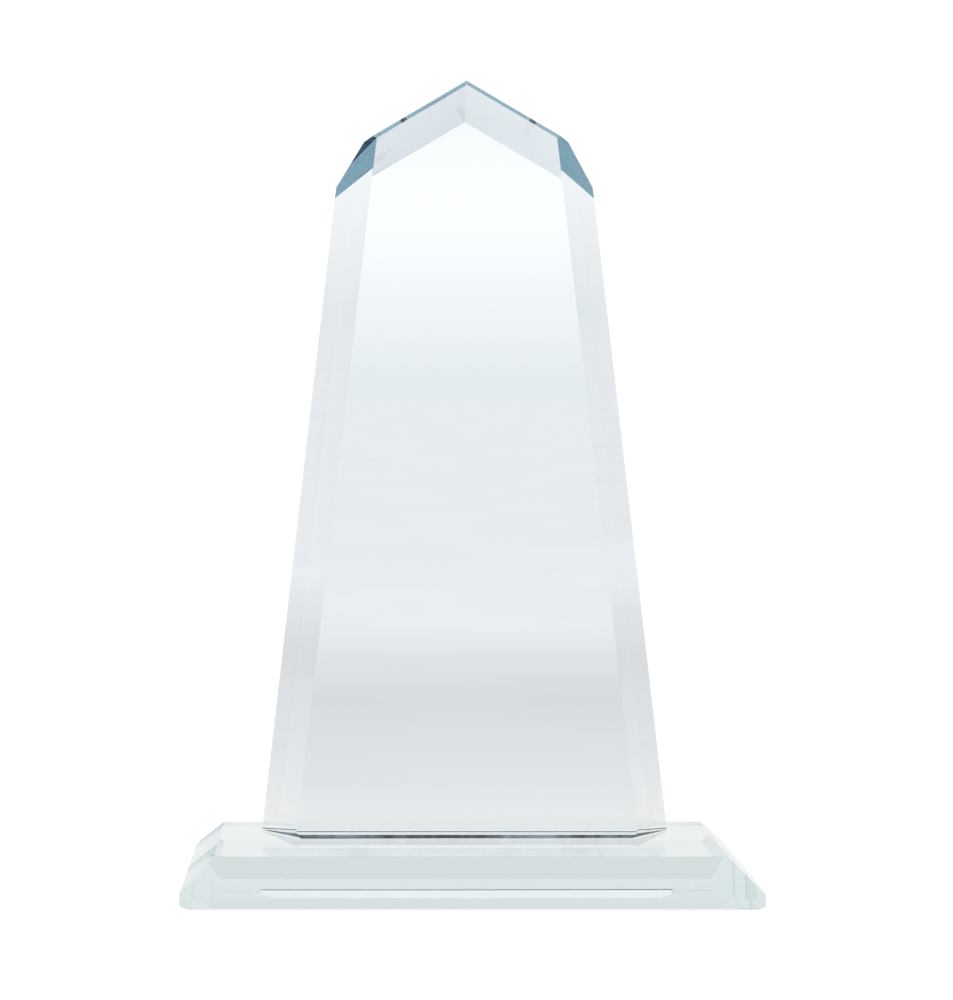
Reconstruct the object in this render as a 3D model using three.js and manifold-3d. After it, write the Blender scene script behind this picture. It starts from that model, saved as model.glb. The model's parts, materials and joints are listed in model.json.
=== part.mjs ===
// Faceted glass award: a pointed tower bonded on end to a bevelled base slab.
// Millimetres, +Z up. The front faces -Y and the origin is the middle of the base's underside.
import * as THREE from "three";
import { mergeVertices } from "three/addons/utils/BufferGeometryUtils.js";
import Module from "manifold-3d";

// Base slab
const baseWidth = 160;
const baseDepth = 50;
const baseHeight = 12;
const baseLip = 3.2; // upright edge left below the top bevels
const baseEndBevelRun = 9; // plan width of the bevels at the two ends
const baseLongBevelRun = 7.9; // plan width of the bevels along the front and the back
const baseCornerClip = 2.8; // leg of the 45 degree cut down each upright corner
const bottomArris = 0.3; // leg of the arris round the underside

// Adhesive film between the base and the tower
const filmThickness = 0.2;
const filmMargin = 0.05; // how far the film stops inside the flat of the tower's foot

// Tower
const towerHeight = 217.5;
const towerThickness = 12;
const endShelf = 11.8; // bare top of the base beyond each end of the tower's foot
const backShelf = 6.4; // bare top of the base behind the tower's foot
const shoulderWidth = 73.2; // where the tapered sides and the roof edges would meet
const roofRise = 21.5; // from that meeting up to the point
const sideBevelRun = 10.1; // width of the front bevels along the two sides
const sideLand = 2.6; // plate edge left square behind the side bevels
const roofBevelRun = 9.3; // width of the back bevels along the two roof edges
const roofLand = 3.3; // plate edge left in front of the roof bevels
const roofArris = 1.2; // leg of the narrow front arris along the roof edges
const footArris = 1.3; // leg of the ground arris along the front edge of the foot
const bevelFootArris = 1.8; // its leg on the side bevels, where it starts; it runs out at their back

const frontOut = new THREE.Vector3(0, -1, 0);
const backOut = new THREE.Vector3(0, 1, 0);
const upOut = new THREE.Vector3(0, 0, 1);
const downOut = new THREE.Vector3(0, 0, -1);
const grinderSize = 4 * Math.max(baseWidth, baseDepth, baseHeight + towerHeight);

const wasm = await Module();
wasm.setup();

// A closed three.js geometry as a solid that can be cut.
function solidFrom(geometry) {
  const bare = geometry.index ? geometry.toNonIndexed() : geometry.clone();
  bare.deleteAttribute("normal");
  bare.deleteAttribute("uv");
  const merged = mergeVertices(bare, 1e-5);
  const mesh = new wasm.Mesh({
    numProp: 3,
    vertProperties: new Float32Array(merged.attributes.position.array),
    triVerts: new Uint32Array(merged.index.array),
  });
  return new wasm.Manifold(mesh);
}

// A cut solid as a three.js geometry with crisp, flat-shaded facets.
function geometryFrom(solid) {
  const mesh = solid.getMesh();
  const shared = new THREE.BufferGeometry();
  shared.setAttribute("position", new THREE.BufferAttribute(new Float32Array(mesh.vertProperties), 3));
  shared.setIndex(new THREE.BufferAttribute(new Uint32Array(mesh.triVerts), 1));
  const facets = shared.toNonIndexed();
  facets.computeVertexNormals();
  return facets;
}

// Takes off everything on the outer side of the plane through point with this outward normal.
function grindFlat(solid, point, normal) {
  const wheel = new THREE.BoxGeometry(grinderSize, grinderSize, grinderSize);
  wheel.translate(0, 0, grinderSize / 2);
  const turn = new THREE.Quaternion().setFromUnitVectors(upOut, normal.clone().normalize());
  wheel.applyQuaternion(turn);
  wheel.translate(point.x, point.y, point.z);
  return solid.subtract(solidFrom(wheel));
}

// Bevels the sharp edge through edgePoint, where the faces with normals faceOut and edgeOut meet.
// The bevel takes run off the first face and drop off the second.
function bevelEdge(solid, edgePoint, faceOut, edgeOut, run, drop) {
  const start = edgePoint.clone().addScaledVector(edgeOut, -run);
  const normal = edgeOut.clone().multiplyScalar(drop).addScaledVector(faceOut, run);
  return grindFlat(solid, start, normal);
}

// A flat outline of [x, y] points, extruded from 0 upwards.
function extrudeUp(points, height) {
  const outline = new THREE.Shape(points.map(([x, y]) => new THREE.Vector2(x, y)));
  return new THREE.ExtrudeGeometry(outline, { depth: height, bevelEnabled: false });
}

// The outward normal of the side from one point of a counter-clockwise outline to the next.
function sideNormal(from, to) {
  return new THREE.Vector2(to[1] - from[1], from[0] - to[0]).normalize();
}

// A counter-clockwise convex outline with every side moved inwards by the same distance.
function insetOutline(points, distance) {
  const count = points.length;
  return points.map((corner, i) => {
    const lastOut = sideNormal(points[(i + count - 1) % count], corner);
    const nextOut = sideNormal(corner, points[(i + 1) % count]);
    const inwards = lastOut.clone().add(nextOut).multiplyScalar(-distance / (1 + lastOut.dot(nextOut)));
    return [corner[0] + inwards.x, corner[1] + inwards.y];
  });
}

// The tower's foot stands inside the flat top of the base.
const footWidth = baseWidth - 2 * (baseEndBevelRun + endShelf);
const towerBackY = baseDepth / 2 - baseLongBevelRun - backShelf;
const towerFrontY = towerBackY - towerThickness;
const shoulderHeight = towerHeight - roofRise;
const sideBevelDrop = towerThickness - sideLand;
const roofBevelDrop = towerThickness - roofLand;

// Outward directions of the right-hand side and roof edge of the tower, seen from the front.
const sideTilt = Math.atan2((footWidth - shoulderWidth) / 2, shoulderHeight);
const roofTilt = Math.atan2(roofRise, shoulderWidth / 2);

function sideOut(hand) {
  return new THREE.Vector3(hand * Math.cos(sideTilt), 0, Math.sin(sideTilt));
}

function roofOut(hand) {
  return new THREE.Vector3(hand * Math.sin(roofTilt), 0, Math.cos(roofTilt));
}

// Plan of the tower's foot where the side bevels cut it.
const footHalf = footWidth / 2;
const footFrontHalf = footHalf - sideBevelRun / Math.cos(sideTilt);
const bevelBackY = towerFrontY + sideBevelDrop;

// Where the run-out arris of the right-hand bevel starts on the underside of the foot.
function arrisStart() {
  const out = sideNormal([footFrontHalf, towerFrontY], [footHalf, bevelBackY]);
  return [footFrontHalf - bevelFootArris * out.x, towerFrontY - bevelFootArris * out.y];
}

// The flat left under the foot inside the arrises, counter-clockwise from the front left corner.
function footFlat() {
  const [startX, startY] = arrisStart();
  const frontY = towerFrontY + footArris;
  const along = (frontY - bevelBackY) / (startY - bevelBackY);
  const frontX = footHalf + along * (startX - footHalf);
  return [
    [-frontX, frontY],
    [frontX, frontY],
    [footHalf, bevelBackY],
    [footHalf, towerBackY],
    [-footHalf, towerBackY],
    [-footHalf, bevelBackY],
  ];
}

function makeBase() {
  let slab = solidFrom(new THREE.BoxGeometry(baseWidth, baseDepth, baseHeight));
  slab = slab.translate([0, 0, baseHeight / 2]);
  const bevelDrop = baseHeight - baseLip;
  for (const hand of [-1, 1]) {
    const endOut = new THREE.Vector3(hand, 0, 0);
    const longOut = new THREE.Vector3(0, hand, 0);
    const endEdge = new THREE.Vector3((hand * baseWidth) / 2, 0, baseHeight);
    const longEdge = new THREE.Vector3(0, (hand * baseDepth) / 2, baseHeight);
    slab = bevelEdge(slab, endEdge, upOut, endOut, baseEndBevelRun, bevelDrop);
    slab = bevelEdge(slab, longEdge, upOut, longOut, baseLongBevelRun, bevelDrop);
    for (const side of [frontOut, backOut]) {
      const corner = new THREE.Vector3((hand * baseWidth) / 2, (side.y * baseDepth) / 2, 0);
      slab = bevelEdge(slab, corner, side, endOut, baseCornerClip, baseCornerClip);
    }
    const endFoot = new THREE.Vector3((hand * baseWidth) / 2, 0, 0);
    const longFoot = new THREE.Vector3(0, (hand * baseDepth) / 2, 0);
    slab = bevelEdge(slab, endFoot, downOut, endOut, bottomArris, bottomArris);
    slab = bevelEdge(slab, longFoot, downOut, longOut, bottomArris, bottomArris);
  }
  return geometryFrom(slab);
}

function makeFilm() {
  return extrudeUp(insetOutline(footFlat(), filmMargin), filmThickness);
}

function makeTower() {
  const face = [
    [-footHalf, 0],
    [footHalf, 0],
    [shoulderWidth / 2, shoulderHeight],
    [0, towerHeight],
    [-shoulderWidth / 2, shoulderHeight],
  ];
  const plate = extrudeUp(face, towerThickness);
  plate.rotateX(Math.PI / 2);
  plate.translate(0, towerBackY, 0);
  let tower = solidFrom(plate);
  for (const hand of [-1, 1]) {
    const footFront = new THREE.Vector3(hand * footHalf, towerFrontY, 0);
    const apexFront = new THREE.Vector3(0, towerFrontY, towerHeight);
    const apexBack = new THREE.Vector3(0, towerBackY, towerHeight);
    tower = bevelEdge(tower, footFront, frontOut, sideOut(hand), sideBevelRun, sideBevelDrop);
    tower = bevelEdge(tower, apexBack, backOut, roofOut(hand), roofBevelRun, roofBevelDrop);
    tower = bevelEdge(tower, apexFront, frontOut, roofOut(hand), roofArris, roofArris);
  }
  const frontFoot = new THREE.Vector3(0, towerFrontY, 0);
  tower = bevelEdge(tower, frontFoot, downOut, frontOut, footArris, footArris);
  const [startX, startY] = arrisStart();
  for (const hand of [-1, 1]) {
    const runOut = new THREE.Vector3(hand * footHalf, bevelBackY, 0);
    const start = new THREE.Vector3(hand * startX, startY, 0);
    const top = new THREE.Vector3(hand * footFrontHalf, towerFrontY, bevelFootArris);
    const normal = start.sub(runOut).cross(top.sub(runOut)).multiplyScalar(-hand);
    tower = grindFlat(tower, runOut, normal);
  }
  return geometryFrom(tower);
}

// Low-iron optical glass, nearly colourless.
function clearGlass() {
  return new THREE.MeshStandardMaterial({ color: 0xeef2f4, roughness: 0.02, metalness: 0 });
}

// Float glass with a faint sea-green body colour.
function paleGreenGlass() {
  return new THREE.MeshStandardMaterial({ color: 0xdfeeee, roughness: 0.02, metalness: 0 });
}

// Clear adhesive, cured by ultraviolet light.
function curedAdhesive() {
  return new THREE.MeshStandardMaterial({ color: 0xf2f4f4, roughness: 0.08, metalness: 0 });
}

function place(name, geometry, material, height) {
  const mesh = new THREE.Mesh(geometry, material);
  mesh.name = name;
  mesh.position.z = height;
  return mesh;
}

const award = new THREE.Group();
award.add(place("base_slab", makeBase(), paleGreenGlass(), 0));
award.add(place("adhesive_film", makeFilm(), curedAdhesive(), baseHeight));
award.add(place("tower", makeTower(), clearGlass(), baseHeight + filmThickness));

export default award;
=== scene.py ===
import json
import math

import bpy
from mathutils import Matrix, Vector

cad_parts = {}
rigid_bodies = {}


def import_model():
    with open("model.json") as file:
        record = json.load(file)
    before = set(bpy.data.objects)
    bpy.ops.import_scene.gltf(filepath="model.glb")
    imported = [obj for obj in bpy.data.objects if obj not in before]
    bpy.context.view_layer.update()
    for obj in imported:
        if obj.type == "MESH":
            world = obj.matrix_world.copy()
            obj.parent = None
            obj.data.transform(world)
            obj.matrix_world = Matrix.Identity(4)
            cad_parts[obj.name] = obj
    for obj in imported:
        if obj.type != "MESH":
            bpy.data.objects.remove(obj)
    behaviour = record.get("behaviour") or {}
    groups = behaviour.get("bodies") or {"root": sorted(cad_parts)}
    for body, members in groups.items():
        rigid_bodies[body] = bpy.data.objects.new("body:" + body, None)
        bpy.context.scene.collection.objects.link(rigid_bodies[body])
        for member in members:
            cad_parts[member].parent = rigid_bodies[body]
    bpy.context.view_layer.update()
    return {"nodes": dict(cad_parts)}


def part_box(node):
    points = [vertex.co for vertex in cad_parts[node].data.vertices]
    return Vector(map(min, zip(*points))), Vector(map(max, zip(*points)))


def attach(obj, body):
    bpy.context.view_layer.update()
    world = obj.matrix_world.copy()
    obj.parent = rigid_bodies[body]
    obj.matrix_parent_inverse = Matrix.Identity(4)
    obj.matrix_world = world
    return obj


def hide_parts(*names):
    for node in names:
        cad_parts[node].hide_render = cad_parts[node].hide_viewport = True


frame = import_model()
scene = bpy.context.scene
scene.view_settings.view_transform = "Standard"
longestPath = 40  # bounces; light runs the length of the plate before it leaves
for limit in ("max_bounces", "transmission_bounces", "glossy_bounces", "transparent_max_bounces"):
    setattr(scene.cycles, limit, longestPath)
mm = 0.001
cutThreshold = 1e-7  # metres; nearer than this a corner counts as on the cutting plane
levelCosine = 0.999  # a face whose normal rises or falls this steeply is level
levelGap = 0.001 * mm
outlineSlack = 1e-9  # square metres; a point this little outside an outline counts as inside
bondedSlot = 1  # material slots after the glass itself
groundShadeSlot = 2
print("frame loaded:", sorted(frame["nodes"]))


def linearColor(hexText):
    # an sRGB hex colour as the linear values that shaders want
    channels = [int(hexText[i:i + 2], 16) / 255 for i in (1, 3, 5)]
    straight = [c / 12.92 if c <= 0.04045 else ((c + 0.055) / 1.055) ** 2.4 for c in channels]
    return (*straight, 1.0)


def addNode(tree, kind, settings=None, inputs=None, links=None):
    # settings are the node's own properties, inputs are plain values, links are (socket, from socket)
    node = tree.nodes.new(kind)
    for name, value in (settings or {}).items():
        setattr(node, name, value)
    for name, value in (inputs or {}).items():
        node.inputs[name].default_value = value
    for name, source in (links or {}).items():
        tree.links.new(source, node.inputs[name])
    return node


def emptyMaterial(name):
    made = bpy.data.materials.new(name)
    made.use_nodes = True
    made.node_tree.nodes.clear()
    return made


def deselectAll():
    for item in bpy.context.view_layer.objects:
        item.select_set(False)


def makeActive(piece):
    deselectAll()
    piece.select_set(True)
    bpy.context.view_layer.objects.active = piece


def addBlock(name, low, high):
    # a cube between two corners, with its place kept in the mesh
    deselectAll()
    middle = (low + high) / 2
    bpy.ops.mesh.primitive_cube_add(size=1, location=middle)
    block = bpy.context.active_object
    block.name = name
    block.data.name = name
    block.scale = high - low
    bpy.ops.object.transform_apply(location=True, rotation=True, scale=True)
    return block


def grindFlat(piece, point, normal):
    # one pass on the grinding wheel: all beyond the plane goes, and the cut is closed flat
    makeActive(piece)
    bpy.ops.object.mode_set(mode="EDIT")
    bpy.ops.mesh.select_all(action="SELECT")
    bpy.ops.mesh.bisect(plane_co=point, plane_no=normal.normalized(), use_fill=True, clear_outer=True,
                        threshold=cutThreshold)
    bpy.ops.object.mode_set(mode="OBJECT")


def bevelEdge(piece, edgePoint, faceOut, edgeOut, run, drop):
    # the bevel takes run off the face and drop off the edge
    grindFlat(piece, edgePoint - edgeOut * run, edgeOut * drop + faceOut * run)


def softenEdges(piece, width):
    # the thin polished arris that every facet line of cut glass has
    makeActive(piece)
    softener = piece.modifiers.new("arris", "BEVEL")
    softener.width = width
    softener.segments = 2
    softener.limit_method = "ANGLE"
    softener.angle_limit = math.radians(5)
    softener.use_clamp_overlap = True
    bpy.ops.object.modifier_apply(modifier=softener.name)


def isLevelAt(face, height):
    return abs(face.normal.z) > levelCosine and abs(face.center.z - height) < levelGap


def selectLevelFaces(piece, height):
    for face in piece.data.polygons:
        face.select = isLevelAt(face, height)
    for corner in piece.data.vertices:
        corner.select = False
    for edge in piece.data.edges:
        edge.select = False


def insideOutline(point, outline):
    # counter-clockwise convex outline of (x, y)
    for i, a in enumerate(outline):
        b = outline[(i + 1) % len(outline)]
        if (b[0] - a[0]) * (point[1] - a[1]) - (b[1] - a[1]) * (point[0] - a[0]) < -outlineSlack:
            return False
    return True


def bondPatch(piece, height, outline):
    # scores the outline of the adhesive on a level face, and gives the patch inside the bonded slot
    for i, a in enumerate(outline):
        b = outline[(i + 1) % len(outline)]
        makeActive(piece)
        bpy.ops.object.mode_set(mode="EDIT")
        bpy.ops.mesh.select_mode(type="FACE")
        bpy.ops.mesh.select_all(action="DESELECT")
        bpy.ops.object.mode_set(mode="OBJECT")
        selectLevelFaces(piece, height)
        bpy.ops.object.mode_set(mode="EDIT")
        outward = (b[1] - a[1], a[0] - b[0], 0)
        bpy.ops.mesh.bisect(plane_co=(a[0], a[1], height), plane_no=outward, threshold=cutThreshold)
        bpy.ops.object.mode_set(mode="OBJECT")
    for face in piece.data.polygons:
        if isLevelAt(face, height) and insideOutline(face.center, outline):
            face.material_index = bondedSlot


glassLook = {
    "ior": 1.52,  # optical crown glass
    "polishSpacing": 16 * mm,  # breadth of the slight waves that a felt wheel leaves
    "polishDepth": 0.0003 * mm,
    "smudgeSpacing": 26 * mm,  # breadth of faint handling marks
    "smudgeFrom": 0.56,  # the noise value where a mark starts, and where it is full
    "smudgeFull": 0.74,
    "smudgeRoughness": 0.012,
    "towerTint": "#7cbdd0",  # clear across the plate, steel blue along its length
    "baseTint": "#9ccbcc",  # a paler sea green, seen along the slab
    "tintPerMetre": 6.6,
}


def polishedGlass(name, tint):
    # cut, ground and polished glass: clear right through, mirror-smooth, with the slight waves
    # that a polishing wheel leaves and a breath of handling marks that only dull it in places
    made = emptyMaterial(name)
    tree = made.node_tree
    place = addNode(tree, "ShaderNodeTexCoord").outputs["Object"]
    waves = addNode(tree, "ShaderNodeTexNoise",
                    inputs={"Scale": 1 / glassLook["polishSpacing"], "Detail": 1.0, "Roughness": 0.4},
                    links={"Vector": place})
    bump = addNode(tree, "ShaderNodeBump",
                   inputs={"Strength": 1.0, "Distance": glassLook["polishDepth"]},
                   links={"Height": waves.outputs["Fac"]})
    smudges = addNode(tree, "ShaderNodeTexNoise",
                      inputs={"Scale": 1 / glassLook["smudgeSpacing"], "Detail": 5.0, "Roughness": 0.62},
                      links={"Vector": place})
    dulled = addNode(tree, "ShaderNodeMapRange",
                     inputs={"From Min": glassLook["smudgeFrom"], "From Max": glassLook["smudgeFull"],
                             "To Max": glassLook["smudgeRoughness"]},
                     links={"Value": smudges.outputs["Fac"]})
    body = addNode(tree, "ShaderNodeBsdfPrincipled",
                   inputs={"Base Color": (1, 1, 1, 1), "IOR": glassLook["ior"], "Transmission Weight": 1.0},
                   links={"Normal": bump.outputs["Normal"], "Roughness": dulled.outputs["Result"]})
    depth = addNode(tree, "ShaderNodeVolumeAbsorption",
                    inputs={"Color": linearColor(tint), "Density": glassLook["tintPerMetre"]})
    addNode(tree, "ShaderNodeOutputMaterial",
            links={"Surface": body.outputs[0], "Volume": depth.outputs[0]})
    return made


def wettedGlass(name):
    # glass wetted by adhesive of nearly its own index: the surface vanishes, so it is made fully clear
    made = emptyMaterial(name)
    tree = made.node_tree
    clear = addNode(tree, "ShaderNodeBsdfTransparent", inputs={"Color": (1, 1, 1, 1)})
    addNode(tree, "ShaderNodeOutputMaterial", links={"Surface": clear.outputs[0]})
    return made


groundAndPaintedShadeLook = {
    "paintedPatchSpacing": 14 * mm,
    "drawnOut": (1, 0.2, 0.2),  # the painted reflection patches follow the arris
    # painted shade and painted reflection: the dark and pale tones of the arris line at the foot
    "paintedShade": (0.44, "#4f4957"),
    "paintedReflection": (0.62, "#a3bdd0"),
    "gritSpacing": 0.25 * mm,
    "gritDepth": 0.02 * mm,
    "gritStrength": 0.4,
    "roughness": 0.45,
}


def groundGlassPaintedShade(name):
    # an arris left as the grinding wheel cut it. Frosting this narrow reads as a grey pencil line, so it is
    # made as an opaque one; its grey is painted shade where the foot meets the base, with darker and paler
    # patches along its length that are painted reflections
    made = emptyMaterial(name)
    tree = made.node_tree
    place = addNode(tree, "ShaderNodeTexCoord").outputs["Object"]
    drawn = addNode(tree, "ShaderNodeMapping", inputs={"Scale": groundAndPaintedShadeLook["drawnOut"]},
                    links={"Vector": place})
    paintedPatches = addNode(tree, "ShaderNodeTexNoise",
                      inputs={"Scale": 1 / groundAndPaintedShadeLook["paintedPatchSpacing"], "Detail": 4.0, "Roughness": 0.65},
                      links={"Vector": drawn.outputs["Vector"]})
    paintedGreys = addNode(tree, "ShaderNodeValToRGB", links={"Fac": paintedPatches.outputs["Fac"]})
    stops = paintedGreys.color_ramp.elements
    for stop, (position, tone) in zip(stops, (groundAndPaintedShadeLook["paintedShade"], groundAndPaintedShadeLook["paintedReflection"])):
        stop.position = position
        stop.color = linearColor(tone)
    grit = addNode(tree, "ShaderNodeTexNoise",
                   inputs={"Scale": 1 / groundAndPaintedShadeLook["gritSpacing"], "Detail": 2.0},
                   links={"Vector": place})
    pits = addNode(tree, "ShaderNodeBump",
                   inputs={"Strength": groundAndPaintedShadeLook["gritStrength"], "Distance": groundAndPaintedShadeLook["gritDepth"]},
                   links={"Height": grit.outputs["Fac"]})
    body = addNode(tree, "ShaderNodeBsdfPrincipled",
                   inputs={"IOR": glassLook["ior"], "Roughness": groundAndPaintedShadeLook["roughness"]},
                   links={"Base Color": paintedGreys.outputs["Color"], "Normal": pits.outputs["Normal"]})
    addNode(tree, "ShaderNodeOutputMaterial", links={"Surface": body.outputs[0]})
    return made


adhesiveLook = {
    "ior": 1.5,
    "tint": "#f4f6f5",
    "wipeSpacing": 1.5 * mm,
    "wipeNoise": (0.3, 0.7),
    "wipeRoughness": (0.05, 0.22),
}


def curedAdhesive(name):
    # acrylic adhesive, cured by ultraviolet light: clear, and a little dull where it was wiped at the edge
    made = emptyMaterial(name)
    tree = made.node_tree
    place = addNode(tree, "ShaderNodeTexCoord").outputs["Object"]
    wipe = addNode(tree, "ShaderNodeTexNoise",
                   inputs={"Scale": 1 / adhesiveLook["wipeSpacing"], "Detail": 3.0},
                   links={"Vector": place})
    noiseLow, noiseHigh = adhesiveLook["wipeNoise"]
    smooth, rough = adhesiveLook["wipeRoughness"]
    dull = addNode(tree, "ShaderNodeMapRange",
                   inputs={"From Min": noiseLow, "From Max": noiseHigh, "To Min": smooth, "To Max": rough},
                   links={"Value": wipe.outputs["Fac"]})
    body = addNode(tree, "ShaderNodeBsdfPrincipled",
                   inputs={"Base Color": linearColor(adhesiveLook["tint"]), "IOR": adhesiveLook["ior"],
                           "Transmission Weight": 1.0},
                   links={"Roughness": dull.outputs["Result"]})
    addNode(tree, "ShaderNodeOutputMaterial", links={"Surface": body.outputs[0]})
    return made


towerGlass = polishedGlass("lowIronGlassPolished", glassLook["towerTint"])
baseGlass = polishedGlass("floatGlassPolished", glassLook["baseTint"])
bondedFace = wettedGlass("glassWettedByAdhesive")
# the foot arris, its colour painted shade and painted reflection
groundEdgePaintedShade = groundGlassPaintedShade("glassGroundPaintedShade")
filmEdge = curedAdhesive("acrylicAdhesiveCured")
print("materials made")


baseLook = {
    "lip": 3.2 * mm,  # upright edge under the bevels
    "endRun": 9 * mm,
    "longRun": 7.9 * mm,
    "cornerClip": 2.8 * mm,
    "bottomArris": 0.3 * mm,
    "arris": 0.05 * mm,
}
up = Vector((0, 0, 1))
baseLow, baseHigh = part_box("base_slab")
base = addBlock("baseSlab", baseLow, baseHigh)
drop = baseHigh.z - baseLow.z - baseLook["lip"]
for hand in (-1, 1):
    endOut = Vector((hand, 0, 0))
    longOut = Vector((0, hand, 0))
    bevelEdge(base, Vector((hand * baseHigh.x, 0, baseHigh.z)), up, endOut, baseLook["endRun"], drop)
    bevelEdge(base, Vector((0, hand * baseHigh.y, baseHigh.z)), up, longOut, baseLook["longRun"], drop)
    for side in (-1, 1):
        corner = Vector((hand * baseHigh.x, side * baseHigh.y, 0))
        clip = baseLook["cornerClip"]
        bevelEdge(base, corner, Vector((0, side, 0)), endOut, clip, clip)
    bottom = baseLook["bottomArris"]
    bevelEdge(base, Vector((hand * baseHigh.x, 0, 0)), -up, endOut, bottom, bottom)
    bevelEdge(base, Vector((0, hand * baseHigh.y, 0)), -up, longOut, bottom, bottom)
softenEdges(base, baseLook["arris"])
print("base slab ground:", len(base.data.polygons), "faces")


towerLook = {
    "shoulderWidth": 73.2 * mm,  # where the leaning sides and the roof edges would meet
    "roofRise": 21.5 * mm,
    "sideRun": 10.1 * mm,  # front bevels along the sides
    "sideLand": 2.6 * mm,
    "roofRun": 9.3 * mm,  # back bevels along the roof edges
    "roofLand": 3.3 * mm,
    "roofArris": 1.2 * mm,
    "footArris": 1.3 * mm,
    "bevelFootArris": 1.8 * mm,  # where it starts on the side bevels; it runs out at their back
    "groundRise": (-0.9, -0.3),  # upward part of the normals of the ground faces
    "groundForward": -0.2,  # and their part along Y at most
    "arris": 0.05 * mm,
}
front = Vector((0, -1, 0))
back = Vector((0, 1, 0))
towerLow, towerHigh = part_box("tower")
footHalf = towerHigh.x
shoulderHalf = towerLook["shoulderWidth"] / 2
shoulderZ = towerHigh.z - towerLook["roofRise"]
thickness = towerHigh.y - towerLow.y
sideDrop = thickness - towerLook["sideLand"]
roofDrop = thickness - towerLook["roofLand"]
sideTilt = math.atan2(footHalf - shoulderHalf, shoulderZ - towerLow.z)
roofTilt = math.atan2(towerLook["roofRise"], shoulderHalf)
plateLow = Vector((-footHalf, towerLow.y, towerLow.z))
plateHigh = Vector((footHalf, towerHigh.y, towerHigh.z))
tower = addBlock("towerPlate", plateLow, plateHigh)
for hand in (-1, 1):
    sideOut = Vector((hand * math.cos(sideTilt), 0, math.sin(sideTilt)))
    roofOut = Vector((hand * math.sin(roofTilt), 0, math.cos(roofTilt)))
    footEdge = Vector((hand * footHalf, towerLow.y, towerLow.z))
    apexFront = Vector((0, towerLow.y, towerHigh.z))
    apexBack = Vector((0, towerHigh.y, towerHigh.z))
    grindFlat(tower, footEdge, sideOut)
    grindFlat(tower, apexFront, roofOut)
    bevelEdge(tower, footEdge, front, sideOut, towerLook["sideRun"], sideDrop)
    bevelEdge(tower, apexBack, back, roofOut, towerLook["roofRun"], roofDrop)
    bevelEdge(tower, apexFront, front, roofOut, towerLook["roofArris"], towerLook["roofArris"])

# the ground arris under the front, and its run-out along each side bevel
bevelBackY = towerLow.y + sideDrop
frontHalf = footHalf - towerLook["sideRun"] / math.cos(sideTilt)
frontFoot = Vector((0, towerLow.y, towerLow.z))
bevelEdge(tower, frontFoot, -up, front, towerLook["footArris"], towerLook["footArris"])
bevelOut = Vector((bevelBackY - towerLow.y, frontHalf - footHalf, 0)).normalized()
arrisStart = Vector((frontHalf, towerLow.y, 0)) - bevelOut * towerLook["bevelFootArris"]
for hand in (-1, 1):
    runOut = Vector((hand * footHalf, bevelBackY, towerLow.z))
    start = Vector((hand * arrisStart.x, arrisStart.y, towerLow.z))
    top = Vector((hand * frontHalf, towerLow.y, towerLow.z + towerLook["bevelFootArris"]))
    grindFlat(tower, runOut, (start - runOut).cross(top - runOut) * -hand)

# the flat left under the foot inside the arrises, counter-clockwise from its front left corner
flatFrontY = towerLow.y + towerLook["footArris"]
along = (flatFrontY - bevelBackY) / (arrisStart.y - bevelBackY)
flatFrontX = footHalf + along * (arrisStart.x - footHalf)
footFlat = [
    (-flatFrontX, flatFrontY),
    (flatFrontX, flatFrontY),
    (footHalf, bevelBackY),
    (footHalf, towerHigh.y),
    (-footHalf, towerHigh.y),
    (-footHalf, bevelBackY),
]
softenEdges(tower, towerLook["arris"])
print("tower plate ground:", len(tower.data.polygons), "faces")


filmLook = {
    "margin": 0.05 * mm,  # how far it stops inside the flat of the foot
    "meniscus": 0.02 * mm,
}


def insetOutline(outline, distance):
    # every side of the outline moves inwards by the distance
    moved = []
    for i, here in enumerate(outline):
        before = outline[i - 1]
        after = outline[(i + 1) % len(outline)]
        lastOut = Vector((here[1] - before[1], before[0] - here[0])).normalized()
        nextOut = Vector((after[1] - here[1], here[0] - after[0])).normalized()
        corner = Vector(here) - (lastOut + nextOut) * (distance / (1 + lastOut.dot(nextOut)))
        moved.append((corner.x, corner.y))
    return moved


filmLow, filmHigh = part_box("adhesive_film")
filmOutline = insetOutline(footFlat, filmLook["margin"])
film = addBlock("adhesiveFilm", filmLow, filmHigh)
for i, (x, y) in enumerate(filmOutline):
    nextX, nextY = filmOutline[(i + 1) % len(filmOutline)]
    grindFlat(film, Vector((x, y, filmLow.z)), Vector((nextY - y, x - nextX, 0)))
softenEdges(film, filmLook["meniscus"])
print("adhesive film laid:", len(film.data.polygons), "faces")

for piece, finishes in (
    (base, (baseGlass, bondedFace)),
    (tower, (towerGlass, bondedFace, groundEdgePaintedShade)),
    (film, (filmEdge, bondedFace)),
):
    piece.data.materials.clear()
    for finish in finishes:
        piece.data.materials.append(finish)
patch = insetOutline(filmOutline, filmLook["meniscus"])
bondPatch(base, baseHigh.z, patch)
bondPatch(tower, towerLow.z, patch)
for face in film.data.polygons:
    if abs(face.normal.z) > levelCosine:
        face.material_index = bondedSlot
lowestRise, highestRise = towerLook["groundRise"]
for face in tower.data.polygons:
    low = face.center.z < towerLow.z + towerLook["bevelFootArris"] / 2
    leansDown = lowestRise < face.normal.z < highestRise
    if low and leansDown and face.normal.y < towerLook["groundForward"]:
        face.material_index = groundShadeSlot

for piece, node, slotName in (
    (base, "base_slab", "base_glass"),
    (tower, "tower", "tower_glass"),
    (film, "adhesive_film", "cured_adhesive"),
):
    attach(piece, "root")
    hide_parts(node)
print("pieces bonded")


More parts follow.
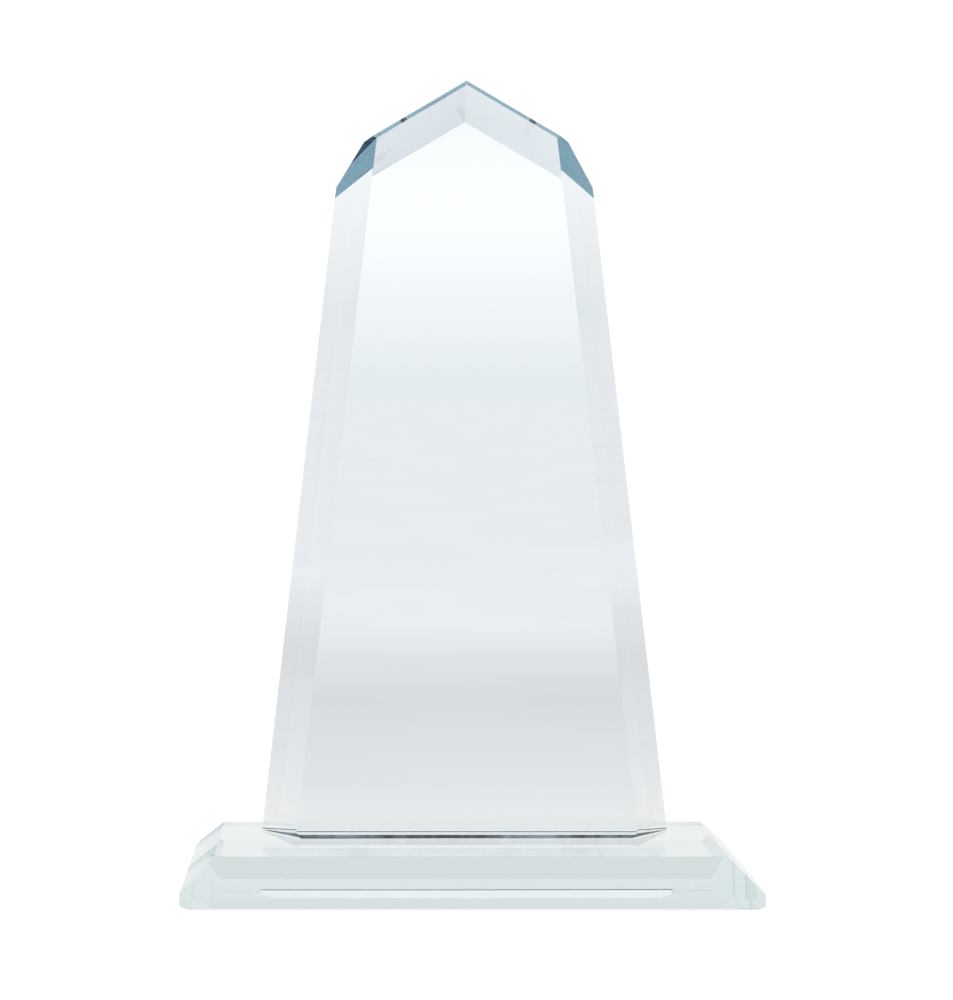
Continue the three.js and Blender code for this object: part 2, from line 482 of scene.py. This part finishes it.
studio = {
    "floorSize": 40.0,
    "floorDrop": 0.05 * mm,  # keeps the paper and the underside of the base apart
    "paper": "#ffffff",
    "paperGlow": 1.04,  # just over white, so that floor and backdrop meet without a line
    "glow": 1.35,  # scales the tones that the glass sees
    "mattShare": 0.12,  # the part that light falls on, for a breath of shadow under the award
    "shadeAcross": 160 * mm,  # breadth of the soft unevenness of the light on the paper
    "shadeNoise": (0.35, 0.65),
    "shadeLeast": 0.985,
    "shadeMost": 1.01,
    # painted light and shade on the floor as the glass sees it, by metres behind the middle of the award
    "paperPaintedLightTones": (
        (0.0, "#dadada"),
        (0.06, "#d2d2d2"),
        (0.12, "#c7cacd"),
        (0.257, "#bec1c4"),
        (0.471, "#d0d3d6"),
        (1.0, "#ced1d4"),
    ),
    # the room as the glass sees it, by height: 0 is level and 1 overhead
    "roomTones": (
        (0.0, "#cdd1d4"),
        (0.12, "#e4e5e5"),
        (0.17, "#dedfdf"),
        (0.23, "#cbcdce"),
        (0.30, "#c9cbcc"),
        (0.45, "#cbcdce"),
        (0.72, "#e0e0e0"),
    ),
    # what the room is multiplied by sideways: 0 is ahead and 1 square to the side, where it is dark
    "sideTones": (
        (0.0, "#ffffff"),
        (0.72, "#ffffff"),
        (0.86, "#c2c4c8"),
        (0.92, "#6b6d73"),
        (0.97, "#6b6d73"),
        (1.0, "#c0c2c6"),
    ),
}


def toneRamp(tree, tones, source):
    ramp = addNode(tree, "ShaderNodeValToRGB", links={"Fac": source})
    stops = ramp.color_ramp.elements
    stops[0].position, stops[0].color = tones[0][0], linearColor(tones[0][1])
    stops[1].position, stops[1].color = tones[-1][0], linearColor(tones[-1][1])
    for position, tone in tones[1:-1]:
        stops.new(position).color = linearColor(tone)
    return ramp.outputs["Color"]


mixSockets = {"factor": 0, "first": 6, "second": 7, "result": 2}  # of the Mix node when it mixes colours


def seenDirectly(tree, throughGlass, glow, kind):
    # plain white where the eye looks straight at it, and the soft tones where glass does; on the floor those
    # tones are painted light and shade
    looking = addNode(tree, "ShaderNodeLightPath").outputs["Is Camera Ray"]
    tone = addNode(tree, "ShaderNodeMix", settings={"data_type": "RGBA"},
                   inputs={mixSockets["second"]: linearColor(studio["paper"])},
                   links={mixSockets["factor"]: looking, mixSockets["first"]: throughGlass})
    bright = addNode(tree, "ShaderNodeMapRange", inputs={"To Max": studio["paperGlow"]},
                     links={"Value": looking, "To Min": glow})
    shown = tone.outputs[mixSockets["result"]]
    return addNode(tree, kind, links={"Color": shown, "Strength": bright.outputs["Result"]})


def paperFloor():
    # white paper that glows evenly where it is seen directly, with a share of plain matt reflection; where
    # the glass sees it, it glows with painted light and shade
    deselectAll()
    bpy.ops.mesh.primitive_plane_add(size=studio["floorSize"], location=(0, 0, -studio["floorDrop"]))
    floor = bpy.context.active_object
    floor.name = "paperFloor"
    made = emptyMaterial("paperPaintedLight")
    tree = made.node_tree
    place = addNode(tree, "ShaderNodeTexCoord").outputs["Object"]
    split = addNode(tree, "ShaderNodeSeparateXYZ", links={"Vector": place})
    # painted light and shade falling off across the floor, seen only through the glass
    tones = toneRamp(tree, studio["paperPaintedLightTones"], split.outputs["Y"])
    uneven = addNode(tree, "ShaderNodeTexNoise",
                     inputs={"Scale": 1 / studio["shadeAcross"], "Detail": 2.0}, links={"Vector": place})
    noiseLow, noiseHigh = studio["shadeNoise"]
    glow = addNode(tree, "ShaderNodeMapRange",
                   inputs={"From Min": noiseLow, "From Max": noiseHigh,
                           "To Min": studio["glow"] * studio["shadeLeast"],
                           "To Max": studio["glow"] * studio["shadeMost"]},
                   links={"Value": uneven.outputs["Fac"]})
    light = seenDirectly(tree, tones, glow.outputs["Result"], "ShaderNodeEmission")
    matt = addNode(tree, "ShaderNodeBsdfDiffuse", inputs={"Color": linearColor(studio["paper"])})
    looking = addNode(tree, "ShaderNodeLightPath").outputs["Is Camera Ray"]
    share = addNode(tree, "ShaderNodeMapRange", inputs={"To Max": studio["mattShare"]},
                    links={"Value": looking})
    both = addNode(tree, "ShaderNodeMixShader",
                   links={0: share.outputs["Result"], 1: light.outputs[0], 2: matt.outputs[0]})
    addNode(tree, "ShaderNodeOutputMaterial", links={"Surface": both.outputs[0]})
    floor.data.materials.append(made)


def roomAround():
    # there are no lamps: the room is the light, pale all round, a little brighter low down and overhead,
    # and dark at each side
    world = bpy.data.worlds.new("studioRoom")
    scene.world = world
    world.use_nodes = True
    tree = world.node_tree
    tree.nodes.clear()
    toward = addNode(tree, "ShaderNodeTexCoord").outputs["Generated"]
    split = addNode(tree, "ShaderNodeSeparateXYZ", links={"Vector": toward})
    byHeight = toneRamp(tree, studio["roomTones"], split.outputs["Z"])
    aside = addNode(tree, "ShaderNodeMath", settings={"operation": "ABSOLUTE"}, links={0: split.outputs["X"]})
    bySide = toneRamp(tree, studio["sideTones"], aside.outputs[0])
    tones = addNode(tree, "ShaderNodeVectorMath", settings={"operation": "MULTIPLY"},
                    links={0: byHeight, 1: bySide})
    glow = addNode(tree, "ShaderNodeValue")
    glow.outputs[0].default_value = studio["glow"]
    sky = seenDirectly(tree, tones.outputs[0], glow.outputs[0], "ShaderNodeBackground")
    addNode(tree, "ShaderNodeOutputWorld", links={"Surface": sky.outputs[0]})


paperFloor()
roomAround()
print("studio set")


view = {
    "left": 32.8 * mm,  # how far the lens stands to the left of the award's middle
    "before": 413.1 * mm,  # from the base's front edge to the lens
    "height": 141.2 * mm,
    "sensor": 36,
    "lens": 54.9,
    "nearest": 10 * mm,
    "shiftX": 0.1241,
    "shiftY": -0.1112,
}
lens = bpy.data.cameras.new("camera")
lens.sensor_width = view["sensor"]
lens.lens = view["lens"]
lens.shift_x = view["shiftX"]
lens.shift_y = view["shiftY"]
lens.clip_start = view["nearest"]
camera = bpy.data.objects.new("camera", lens)
scene.collection.objects.link(camera)
camera.location = (-view["left"], baseLow.y - view["before"], view["height"])
camera.rotation_euler = (math.radians(90), 0, 0)
scene.camera = camera

bpy.context.view_layer.update()
